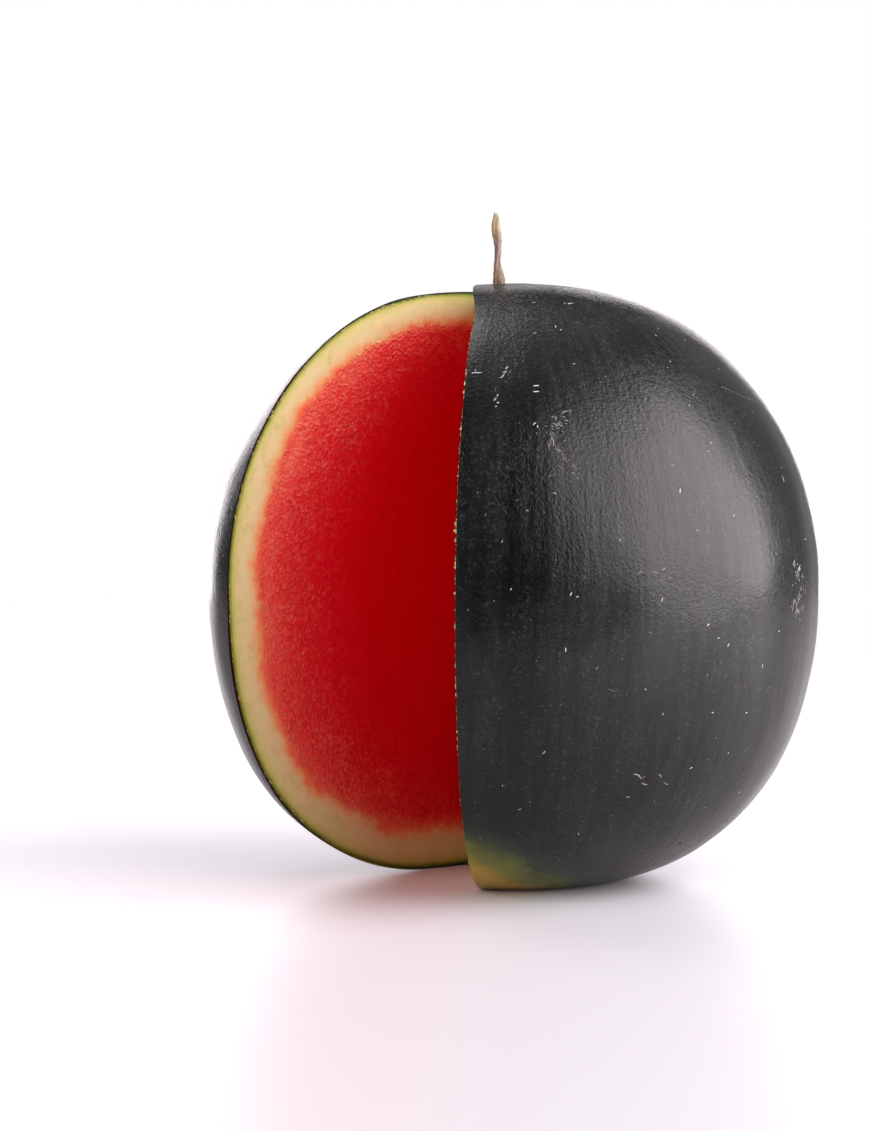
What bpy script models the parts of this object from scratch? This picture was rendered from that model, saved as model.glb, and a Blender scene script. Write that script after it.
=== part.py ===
"""A round dark-skinned watermelon with one wedge taken out, standing on its blossom end.

The fruit grew as one piece, so skin, rind and flesh are one solid. The dry stem is a piece of its own.
Metres, +Z up. The origin is the centre of the flat spot that the fruit stands on, and the notch
opens toward -X and -Y, to the left of someone who looks along +Y.
"""
import math

import bmesh
import bpy
from mathutils import Matrix, Vector

# Driving dimensions of the whole fruit
GIRTH_RADIUS = 0.110        # at its widest level
CROWN_RISE = 0.1120         # from the widest level up to the crown, before it is flattened
CROWN_FULLNESS = 1.96       # 2 gives an ellipse, and more gives squarer shoulders
CROWN_DIP = 0.0059          # how much the crown is flattened round the stem
CROWN_DIP_RADIUS = 0.046    # where the flattening has faded to about a third
BASE_DROP = 0.1143          # from the widest level down to the blossom end, before it is flattened
BASE_FULLNESS = 2.46
REST_RADIUS = 0.038         # of the flat spot under the fruit
WIDEST_LEVEL = BASE_DROP * (1 - (REST_RADIUS / GIRTH_RADIUS) ** BASE_FULLNESS) ** (1 / BASE_FULLNESS)
CROWN_LEVEL = WIDEST_LEVEL + CROWN_RISE - CROWN_DIP

# Slow swells round the girth: how many, how far they stand out as a share of the radius, where they lie
SWELLS = (
    (2, 0.0030, math.radians(20)),
    (3, 0.0025, math.radians(75)),
    (5, 0.0015, math.radians(10)),
)
# A fuller stretch of the far left side: where it lies, how far it stands out, and its spread in radians
FULL_SIDE = (math.radians(172), 0.020, 0.26)

# The rind, which is thinner at the crown, and the flesh that shrank back from the knife's face
RIND_AT_GIRTH = 0.0125
RIND_AT_CROWN = 0.0100
RIND_AT_BASE = 0.0150
FLESH_SINK = 0.0004

# The notch: two upright cuts from the crown to the base that meet in a corner past the middle
NOTCH_CORNER = Vector((-0.0041, 0.0375))
REAR_CUT_ANGLE = math.radians(217.8)
FRONT_CUT_ANGLE = math.radians(262.7)
NOTCH_REACH = 0.26
NOTCH_BELOW = -0.04
NOTCH_ABOVE = 0.30

# The knife went in beside the stem, so the front cut strays into the notch over the last stretch
STRAY_FROM = CROWN_LEVEL - 0.0130
STRAY_TO = CROWN_LEVEL
STRAY_AT_CROWN = 0.0058
STRAY_STEPS = 5

# The dry stem and the shallow dish that it stands in
STEM_AT = Vector((-0.0063, 0.0))
STEM_LENGTH = 0.0262
DISH_RADIUS = 0.0070
DISH_DEPTH = 0.0009
STEM_GAP = 0.0003

# How finely the round shapes are cut into faces
GIRTH_STEPS = 80
CROWN_POINTS = 16
BASE_POINTS = 14
DISH_SEGMENTS = 32
DISH_RINGS = 12
SHARP_ANGLE = math.radians(40)
MERGE_DISTANCE = 0.00001

# Colours from the photograph, linear, with roughness
SKIN_COLOUR = (0.016, 0.020, 0.017)
RIND_COLOUR = (0.72, 0.60, 0.33)
FLESH_COLOUR = (0.46, 0.012, 0.014)
STEM_COLOUR = (0.32, 0.22, 0.12)
SKIN_ROUGHNESS = 0.38
CUT_ROUGHNESS = 0.45
STEM_ROUGHNESS = 0.80


def clear_scene():
    """Remove what the file opens with."""
    for thing in list(bpy.data.objects):
        bpy.data.objects.remove(thing, do_unlink=True)


def new_collection(name):
    """A collection linked to the scene."""
    group = bpy.data.collections.new(name)
    bpy.context.scene.collection.children.link(group)
    return group


def new_material(name, colour, roughness):
    """A Principled material with one colour."""
    material = bpy.data.materials.new(name)
    material.use_nodes = True
    shader = material.node_tree.nodes["Principled BSDF"]
    shader.inputs["Base Color"].default_value = (*colour, 1.0)
    shader.inputs["Roughness"].default_value = roughness
    shader.inputs["Metallic"].default_value = 0.0
    return material


def evaluated_mesh(thing, name):
    """The mesh of an object with its modifiers done, and the object itself removed."""
    depsgraph = bpy.context.evaluated_depsgraph_get()
    mesh = bpy.data.meshes.new_from_object(thing.evaluated_get(depsgraph))
    mesh.name = name
    bpy.data.objects.remove(thing, do_unlink=True)
    return mesh


def crown_dip(radius):
    """How much lower the crown is than its superellipse, at a distance from the axis."""
    return CROWN_DIP * math.exp(-(radius / CROWN_DIP_RADIUS) ** 2)


def melon_profile(shrink_girth, shrink_crown, shrink_base):
    """Half outline from the crown down to the base: a superellipse above the widest level, flattened
    round the stem, and another below it, cut off level where it would pass under the floor."""
    radius = GIRTH_RADIUS - shrink_girth
    rise = CROWN_RISE - shrink_crown
    drop = BASE_DROP - shrink_base
    end_share = min(1.0, WIDEST_LEVEL / drop)
    last_angle = math.acos(end_share ** (BASE_FULLNESS / 2))
    points = []
    for step in range(CROWN_POINTS + 1):
        angle = 0.5 * math.pi * step / CROWN_POINTS
        out = radius * math.sin(angle) ** (2 / CROWN_FULLNESS)
        up = rise * math.cos(angle) ** (2 / CROWN_FULLNESS)
        points.append((out, WIDEST_LEVEL + up - crown_dip(out)))
    for step in range(1, BASE_POINTS + 1):
        angle = 0.5 * math.pi + (last_angle - 0.5 * math.pi) * step / BASE_POINTS
        out = radius * math.sin(angle) ** (2 / BASE_FULLNESS)
        down = drop * math.cos(angle) ** (2 / BASE_FULLNESS)
        points.append((out, WIDEST_LEVEL - down))
    if points[-1][0] > MERGE_DISTANCE:
        points.append((0.0, points[-1][1]))
    return points


def swell(angle):
    """How far the girth stands out at an angle, as a factor of the radius."""
    peak_at, rise, spread = FULL_SIDE
    waves = sum(share * math.cos(count * (angle - peak)) for count, share, peak in SWELLS)
    return 1 + waves + rise * math.exp((math.cos(angle - peak_at) - 1) / spread ** 2)


def turned_melon(name, profile):
    """The profile turned once round +Z, then swollen by the slow swells of the girth."""
    mesh = bpy.data.meshes.new(name)
    edges = [(index, index + 1) for index in range(len(profile) - 1)]
    mesh.from_pydata([(radius, 0.0, height) for radius, height in profile], edges, [])
    turned = bpy.data.objects.new(name, mesh)
    bpy.context.scene.collection.objects.link(turned)
    screw = turned.modifiers.new("turn", "SCREW")
    screw.axis = "Z"
    screw.angle = 2 * math.pi
    screw.steps = GIRTH_STEPS
    screw.render_steps = GIRTH_STEPS
    screw.use_merge_vertices = True
    screw.merge_threshold = MERGE_DISTANCE
    result = evaluated_mesh(turned, name)
    for vertex in result.vertices:
        factor = swell(math.atan2(vertex.co.y, vertex.co.x))
        vertex.co.x *= factor
        vertex.co.y *= factor
    result.shade_smooth()
    result.set_sharp_from_angle(angle=SHARP_ANGLE)
    return result


def bend_front_cut(mesh):
    """Let the prism's front face stray into the notch near the crown. Each level of the prism slides
    along the rear cut, so the rear face stays flat."""
    along_rear = Vector((math.cos(REAR_CUT_ANGLE), math.sin(REAR_CUT_ANGLE), 0.0))
    slide_at_crown = STRAY_AT_CROWN / math.sin(FRONT_CUT_ANGLE - REAR_CUT_ANGLE)
    work = bmesh.new()
    work.from_mesh(mesh)
    for step in range(STRAY_STEPS + 1):
        level = STRAY_FROM + (STRAY_TO - STRAY_FROM) * step / STRAY_STEPS
        everything = work.verts[:] + work.edges[:] + work.faces[:]
        bmesh.ops.bisect_plane(work, geom=everything, plane_co=(0, 0, level), plane_no=(0, 0, 1))
    for vertex in work.verts:
        share = min(1.0, max(0.0, (vertex.co.z - STRAY_FROM) / (STRAY_TO - STRAY_FROM)))
        vertex.co += slide_at_crown * share ** 2 * along_rear
    work.to_mesh(mesh)
    work.free()


def notch_prism(name, grow, cutters):
    """The wedge between the two cuts as an upright prism, its faces moved outward by grow."""
    half_angle = 0.5 * (FRONT_CUT_ANGLE - REAR_CUT_ANGLE)
    middle = 0.5 * (FRONT_CUT_ANGLE + REAR_CUT_ANGLE)
    back_off = grow / math.sin(half_angle)
    corner = NOTCH_CORNER - back_off * Vector((math.cos(middle), math.sin(middle)))
    outline = [corner] + [
        corner + NOTCH_REACH * Vector((math.cos(angle), math.sin(angle)))
        for angle in (REAR_CUT_ANGLE, FRONT_CUT_ANGLE)
    ]
    curve = bpy.data.curves.new(name, "CURVE")
    curve.dimensions = "2D"
    curve.fill_mode = "BOTH"
    curve.extrude = 0.5 * (NOTCH_ABOVE - NOTCH_BELOW)
    spline = curve.splines.new("POLY")
    spline.points.add(len(outline) - 1)
    for point, place in zip(spline.points, outline):
        point.co = (place.x, place.y, 0.0, 1.0)
    spline.use_cyclic_u = True
    flat = bpy.data.objects.new(name, curve)
    bpy.context.scene.collection.objects.link(flat)
    mesh = evaluated_mesh(flat, name)
    mesh.transform(Matrix.Translation((0, 0, 0.5 * (NOTCH_ABOVE + NOTCH_BELOW))))
    weld_and_face_out(mesh)
    bend_front_cut(mesh)
    prism = bpy.data.objects.new(name, mesh)
    cutters.objects.link(prism)
    return prism


def weld_and_face_out(mesh):
    """Join the loose caps of a mesh made from a curve, and turn all faces outward."""
    work = bmesh.new()
    work.from_mesh(mesh)
    bmesh.ops.remove_doubles(work, verts=work.verts, dist=MERGE_DISTANCE)
    bmesh.ops.recalc_face_normals(work, faces=work.faces)
    work.to_mesh(mesh)
    work.free()


def hide_cutter(cutter):
    """Show a cutter as wires only."""
    cutter.hide_render = True
    cutter.display_type = "WIRE"


def add_boolean(thing, name, cutter, operation):
    """An exact Boolean that also brings the cutter's material to the faces it leaves."""
    cut = thing.modifiers.new(name, "BOOLEAN")
    cut.operation = operation
    cut.object = cutter
    cut.solver = "EXACT"
    cut.material_mode = "TRANSFER"


def crown_height(radius):
    """Height of the skin at a distance from the axis, above the widest level."""
    share = (radius / GIRTH_RADIUS) ** CROWN_FULLNESS
    return WIDEST_LEVEL + CROWN_RISE * (1 - share) ** (1 / CROWN_FULLNESS) - crown_dip(radius)


def dish_cutter(cutters, skin):
    """The shallow dish round the stem's foot, cut by a flattened ball."""
    bpy.ops.mesh.primitive_uv_sphere_add(
        segments=DISH_SEGMENTS, ring_count=DISH_RINGS, radius=DISH_RADIUS
    )
    ball = bpy.context.active_object
    ball.name = "stem_dish_cutter"
    for vertex in ball.data.vertices:
        vertex.co.z *= DISH_DEPTH / DISH_RADIUS
    ball.data.materials.append(skin)
    ball.data.shade_smooth()
    ball.location = (STEM_AT.x, STEM_AT.y, crown_height(STEM_AT.length))
    for group in list(ball.users_collection):
        group.objects.unlink(ball)
    cutters.objects.link(ball)
    hide_cutter(ball)
    return ball


def build_fruit(parts, cutters, skin, rind, flesh):
    """The whole fruit, less the notch, less a skim off the flesh inside the rind on both cut faces."""
    mesh = turned_melon("fruit", melon_profile(0, 0, 0))
    mesh.materials.append(skin)
    fruit = bpy.data.objects.new("fruit", mesh)
    parts.objects.link(fruit)

    notch = notch_prism("notch_cutter", 0, cutters)
    notch.data.materials.append(rind)
    hide_cutter(notch)
    add_boolean(fruit, "notch", notch, "DIFFERENCE")

    wider_notch = notch_prism("flesh_wedge_guide", FLESH_SINK, cutters)
    wider_notch.data.materials.append(flesh)
    hide_cutter(wider_notch)
    core_mesh = turned_melon("flesh_cutter", melon_profile(RIND_AT_GIRTH, RIND_AT_CROWN, RIND_AT_BASE))
    core_mesh.materials.append(flesh)
    core = bpy.data.objects.new("flesh_cutter", core_mesh)
    cutters.objects.link(core)
    hide_cutter(core)
    add_boolean(core, "inside_the_wedge", wider_notch, "INTERSECT")
    add_boolean(fruit, "sunk_flesh", core, "DIFFERENCE")

    add_boolean(fruit, "stem_dish", dish_cutter(cutters, skin), "DIFFERENCE")
    return fruit


def build_stem(parts, bark):
    """The dry stem: a bent tube that is flared at its foot, thin above it and thicker near its tip.
    Each point is the share of the length, the lean to the side and back, and the radius."""
    foot = crown_height(STEM_AT.length) - DISH_DEPTH + STEM_GAP
    stations = (
        (0.00, 0.0000, 0.0000, 0.0020),
        (0.10, -0.0001, 0.0001, 0.0020),
        (0.20, -0.0003, 0.0002, 0.0017),
        (0.36, -0.0005, 0.0004, 0.0011),
        (0.48, -0.0003, 0.0004, 0.0012),
        (0.60, -0.0005, 0.0001, 0.0013),
        (0.73, -0.0008, -0.0003, 0.0016),
        (0.84, -0.0011, -0.0004, 0.0015),
        (0.95, -0.0010, -0.0003, 0.0011),
        (1.00, -0.0009, -0.0002, 0.0008),
    )
    curve = bpy.data.curves.new("stem", "CURVE")
    curve.dimensions = "3D"
    curve.bevel_depth = 1.0
    curve.bevel_resolution = 3
    curve.use_fill_caps = True
    curve.resolution_u = 2
    spline = curve.splines.new("BEZIER")
    spline.bezier_points.add(len(stations) - 1)
    for point, (share, side, back, radius) in zip(spline.bezier_points, stations):
        point.co = (side, back, share * STEM_LENGTH)
        point.radius = radius
        point.handle_left_type = "AUTO"
        point.handle_right_type = "AUTO"
    curve.materials.append(bark)
    stem = bpy.data.objects.new("stem", curve)
    stem.location = (STEM_AT.x, STEM_AT.y, foot)
    parts.objects.link(stem)
    return stem


clear_scene()
watermelon = new_collection("watermelon")
cutting_tools = new_collection("cutters")
build_fruit(
    watermelon,
    cutting_tools,
    new_material("skin", SKIN_COLOUR, SKIN_ROUGHNESS),
    new_material("rind", RIND_COLOUR, CUT_ROUGHNESS),
    new_material("flesh", FLESH_COLOUR, CUT_ROUGHNESS),
)
build_stem(watermelon, new_material("stem", STEM_COLOUR, STEM_ROUGHNESS))
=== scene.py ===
"""A round, dark-skinned watermelon with one wedge taken out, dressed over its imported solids.

Metres, +Z up, the fruit standing on its blossom end. The notch opens toward -X and -Y. Each section
makes one piece of the fruit, from its sizes to its finish, and the last ones set the floor, the
light and the camera.
"""

import math

import bmesh
import bpy
import numpy as np
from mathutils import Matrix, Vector


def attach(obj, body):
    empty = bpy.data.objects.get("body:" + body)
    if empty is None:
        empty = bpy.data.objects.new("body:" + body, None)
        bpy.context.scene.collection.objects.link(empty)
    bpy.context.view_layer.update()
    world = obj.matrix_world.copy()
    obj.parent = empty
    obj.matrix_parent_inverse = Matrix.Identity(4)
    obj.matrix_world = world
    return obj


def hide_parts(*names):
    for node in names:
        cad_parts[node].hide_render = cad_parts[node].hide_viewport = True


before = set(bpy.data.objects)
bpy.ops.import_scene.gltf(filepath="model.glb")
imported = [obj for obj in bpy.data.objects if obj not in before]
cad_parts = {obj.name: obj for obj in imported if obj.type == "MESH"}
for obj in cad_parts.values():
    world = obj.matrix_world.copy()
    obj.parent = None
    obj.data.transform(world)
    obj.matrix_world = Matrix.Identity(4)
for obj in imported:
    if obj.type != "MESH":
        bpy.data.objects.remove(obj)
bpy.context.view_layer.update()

# Skin. The waxy, nearly black-green outer layer of the fruit, half a millimetre thick where the
# knife went through it. It grew on the rind and is held by it all over. A shallow dish at the
# crown holds the stem, and a pale spot shows where the fruit lay on the ground.
GIRTH_RADIUS = 0.110
CROWN_RISE = 0.1120
CROWN_FULLNESS = 1.96
CROWN_DIP = 0.0059
CROWN_DIP_RADIUS = 0.046
BASE_DROP = 0.1143
BASE_FULLNESS = 2.46
REST_RADIUS = 0.038
WIDEST_LEVEL = BASE_DROP * (1 - (REST_RADIUS / GIRTH_RADIUS) ** BASE_FULLNESS) ** (1 / BASE_FULLNESS)
CROWN_LEVEL = WIDEST_LEVEL + CROWN_RISE - CROWN_DIP
SWELLS = (
    (2, 0.0030, math.radians(20)),
    (3, 0.0025, math.radians(75)),
    (5, 0.0015, math.radians(10)),
)
FULL_SIDE = (math.radians(172), 0.020, 0.26)   # where the left side is fuller, by how much, its spread
NOTCH_CORNER = (-0.0041, 0.0375)
REAR_CUT_ANGLE = math.radians(217.8)
FRONT_CUT_ANGLE = math.radians(262.7)
ROUND_THE_FRUIT = REAR_CUT_ANGLE + 2 * math.pi - FRONT_CUT_ANGLE
STRAY_FROM = CROWN_LEVEL - 0.0130
STRAY_AT_CROWN = 0.0058
STRAY_ROUNDS = 6
MIDDLE_LEVEL = 0.107
HUB = np.array([*NOTCH_CORNER, MIDDLE_LEVEL])   # every grid is laid out round it
OUTSIDE_REACH = 0.30   # past the fruit on every ray
HALVINGS = 44
STEM_AT = (-0.0063, 0.0)
DISH_RADIUS = 0.0080
DISH_DEPTH = 0.0008
DISH_SHARE = 0.62   # of its radius, the reach of the bell that makes the dish
COLLAR_HEIGHT = 0.00012
COLLAR_SHARE = 0.34
BASE_ROUNDING = 0.0004
NO_INSET = (0.0, 0.0, 0.0)   # girth, crown, base
SKIN_INSET = (0.00055, 0.00055, 0.00055)
CREASES = (   # azimuth, height, reach to each side
    (math.radians(274.5), 0.00052, 0.0100),
    (math.radians(291), 0.00016, 0.0080),
    (math.radians(309), 0.00022, 0.0110),
    (math.radians(341), 0.00018, 0.0100),
    (math.radians(14), 0.00034, 0.0120),
    (math.radians(52), 0.00020, 0.0100),
    (math.radians(88), 0.00036, 0.0130),
    (math.radians(131), 0.00022, 0.0110),
    (math.radians(169), 0.00030, 0.0120),
    (math.radians(204), 0.00018, 0.0090),
)
CREASE_ROUNDING = 0.0008
FURROWS = ((0.32, 11, 0.00006), (0.13, 12, 0.000026))   # wavelength, seed, height
FURROWS_ALONG = 2.0   # how fast they change with height
LUMPS = ((0.060, 13, 0.00016), (0.024, 14, 0.00005))
RELIEF_RISES_OVER = 0.012   # above the ground
EDGE_CURL = 0.00040
EDGE_CURL_REACH = 0.0026
CURL_FROM = 0.146
CURL_RISES_OVER = 0.020
CURL_TO = 0.214
CURL_FADES_OVER = 0.008
CORNER_LIFT = 0.00040
CORNER_FROM_HUB = 0.053
CORNER_REACH = 0.005
CORNER_SPREAD = 0.012
ON_THE_CUT = 0.0001   # radians, within which a point counts as lying on the front cut
SKIN_OUTER_COLUMNS = 430
SKIN_INNER_COLUMNS = 108
SKIN_ROWS = 172
CLOSER_ROWS = (math.radians(19), 1.6, math.radians(8))   # middle, height and spread, under the stem
MERGE_DISTANCE = 0.000001
SHARP_ANGLE = math.radians(45)


def wave_noise(points, wavelength, seed, waves=24):
    """Smooth noise of about unit size: the mean of many cosine waves of one wavelength, each in a
    seeded random direction with a random phase, times the root of twice their number."""
    rng = np.random.default_rng(seed)
    directions = rng.normal(size=(waves, 3))
    directions /= np.linalg.norm(directions, axis=1, keepdims=True)
    stretch = rng.uniform(0.75, 1.35, size=(waves, 1))
    phases = rng.uniform(0, 2 * np.pi, size=waves)
    along = points @ (directions * stretch * 2 * np.pi / wavelength).T
    return np.cos(along + phases).sum(axis=-1) * math.sqrt(2 / waves)


def rolling(points, waves):
    """The sum of several wave noises, each given as its wavelength, seed and height."""
    return sum(wave_noise(points, wavelength, seed) * height for wavelength, seed, height in waves)


def swell(azimuth):
    """One plus a few small cosine waves of the azimuth and one bell-shaped rise, as a factor of the
    radius."""
    peak_at, rise, spread = FULL_SIDE
    waves = sum(share * np.cos(count * (azimuth - peak)) for count, share, peak in SWELLS)
    return 1 + waves + rise * np.exp((np.cos(azimuth - peak_at) - 1) / spread ** 2)


def upper_height(radius, inset):
    """Height of a shell above its widest level: a superellipse of the distance from the axis, less
    a bell-shaped flattening round the stem. The inset makes the shell smaller all round."""
    share = np.clip(radius / (GIRTH_RADIUS - inset[0]), 0, 1) ** CROWN_FULLNESS
    dip = CROWN_DIP * np.exp(-(radius / CROWN_DIP_RADIUS) ** 2)
    return WIDEST_LEVEL + (CROWN_RISE - inset[1]) * (1 - share) ** (1 / CROWN_FULLNESS) - dip


def lower_height(radius, inset):
    """Height of a shell below its widest level: a superellipse that turns smoothly into a level
    floor a third of the inset above the ground."""
    share = np.clip(radius / (GIRTH_RADIUS - inset[0]), 0, 1) ** BASE_FULLNESS
    curve = WIDEST_LEVEL - (BASE_DROP - inset[2]) * (1 - share) ** (1 / BASE_FULLNESS)
    floor = inset[2] / 3
    above = np.clip((curve - floor) / BASE_ROUNDING, -40, 40)
    return floor + np.where(above > 30, curve - floor, BASE_ROUNDING * np.log1p(np.exp(above)))


def ray_directions(polar, azimuth):
    """Unit vectors at an angle from straight up and an azimuth."""
    return np.stack([np.sin(polar) * np.cos(azimuth), np.sin(polar) * np.sin(azimuth),
                     np.cos(polar) * np.ones_like(azimuth)], axis=-1)


def axis_distance(points):
    """Distance from the fruit's axis, with the swells of the girth taken out."""
    return np.hypot(points[..., 0], points[..., 1]) / swell(np.arctan2(points[..., 1], points[..., 0]))


def shell_reach(directions, inset, start=HUB):
    """How far each ray from the hub, or from another point, runs to a shell, by halving the span
    between a point inside it and one outside it."""
    near = np.zeros(directions.shape[:-1])
    far = np.full(directions.shape[:-1], OUTSIDE_REACH)
    for _ in range(HALVINGS):
        middle = (near + far) / 2
        at = start + middle[..., None] * directions
        radius = axis_distance(at)
        inside = ((at[..., 2] < upper_height(radius, inset)) & (at[..., 2] > lower_height(radius, inset))
                  & (radius < GIRTH_RADIUS - inset[0]))
        near = np.where(inside, middle, near)
        far = np.where(inside, far, middle)
    return near


def on_shell(directions, inset, start=HUB):
    """Where each ray meets a shell: the start plus the ray's direction times its reach."""
    return start + shell_reach(directions, inset, start)[..., None] * directions


def strayed(points):
    """Each point slides along the rear cut by the square of how far it has come from the level
    where the front cut starts to stray up to the crown, and keeps its depth under the skin."""
    slide_at_crown = STRAY_AT_CROWN / math.sin(FRONT_CUT_ANGLE - REAR_CUT_ANGLE)
    slide_way = np.array([math.cos(REAR_CUT_ANGLE), math.sin(REAR_CUT_ANGLE), 0.0])
    depth = upper_height(axis_distance(points), NO_INSET) - points[..., 2]
    moved = points.copy()
    for _ in range(STRAY_ROUNDS):
        share = np.clip((moved[..., 2] - STRAY_FROM) / (CROWN_LEVEL - STRAY_FROM), 0, 1)
        moved[..., :2] = (points + slide_at_crown * share[..., None] ** 2 * slide_way)[..., :2]
        lifted = upper_height(axis_distance(moved), NO_INSET) - depth
        moved[..., 2] = np.where(share > 0, lifted, points[..., 2])
    return moved


def graded(low, high, count, *rises):
    """Numbers from low to high that lie closer together at each rise: the running sum of a density
    with bell-shaped rises, each given as its middle, its height and its spread."""
    fine = np.linspace(low, high, 8001)
    density = np.ones_like(fine)
    for middle, height, spread in rises:
        density += height * np.exp(-((fine - middle) / spread) ** 2)
    total = np.concatenate([[0], np.cumsum((density[1:] + density[:-1]) / 2)])
    return np.interp(np.linspace(0, total[-1], count), total, fine)


def eased(share):
    """A smooth step from 0 to 1 as the share goes from 0 to 1."""
    share = np.clip(share, 0, 1)
    return share * share * (3 - 2 * share)


def between_cuts(inset, polar, columns):
    """A shell on rays from the hub, the long way round from the front cut to the rear one."""
    azimuth = np.linspace(FRONT_CUT_ANGLE, FRONT_CUT_ANGLE + ROUND_THE_FRUIT, columns)[None, :]
    return strayed(on_shell(ray_directions(polar, azimuth), inset))


def round_the_hub(points):
    """Distance from the upright line through the hub, and the angle round it from the front cut."""
    x, y = points[..., 0] - HUB[0], points[..., 1] - HUB[1]
    return np.hypot(x, y), np.arctan2(y, x) - FRONT_CUT_ANGLE


def off_stem(points):
    """Level distance from the middle of the stem's foot."""
    return np.hypot(points[..., 0] - STEM_AT[0], points[..., 1] - STEM_AT[1])


def store(mesh, **numbers):
    """Keeps numbers on the mesh's points, under their names."""
    for name, values in numbers.items():
        layer = mesh.attributes.new(name, "FLOAT", "POINT")
        layer.data.foreach_set("value", np.ravel(values).astype(np.float32))


def mesh_from_loops(name, points, closed, **numbers):
    """A mesh of quads between neighbouring rows and columns of a grid of points, or of each grid in
    a stack of them. A closed grid also joins its last column to its first. Points that meet are
    merged, and the faces turned outward. Numbers are stored on the points under their names."""
    place = np.arange(points[..., 0].size).reshape(points.shape[:-1])
    if closed:
        place = np.concatenate([place, place[..., :1]], axis=-1)
    quads = np.stack([place[..., :-1, :-1], place[..., 1:, :-1], place[..., 1:, 1:], place[..., :-1, 1:]],
                     axis=-1)
    mesh = bpy.data.meshes.new(name)
    mesh.from_pydata(points.reshape(-1, 3), [], quads.reshape(-1, 4))
    store(mesh, **{key: np.broadcast_to(values, points.shape[:-1]) for key, values in numbers.items()})
    work = bmesh.new()
    work.from_mesh(mesh)
    bmesh.ops.remove_doubles(work, verts=work.verts, dist=MERGE_DISTANCE)
    bmesh.ops.recalc_face_normals(work, faces=work.faces)
    work.to_mesh(mesh)
    work.free()
    mesh.shade_smooth()
    mesh.set_sharp_from_angle(angle=SHARP_ANGLE)
    return mesh


def new_piece(name, mesh, material, slot, *nodes):
    """An object at the origin that rides on the fruit and stands for the nodes it covers."""
    mesh.materials.append(material)
    piece = bpy.data.objects.new(name, mesh)
    bpy.context.scene.collection.objects.link(piece)
    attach(piece, "root")
    if nodes:
        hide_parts(*nodes)


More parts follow.
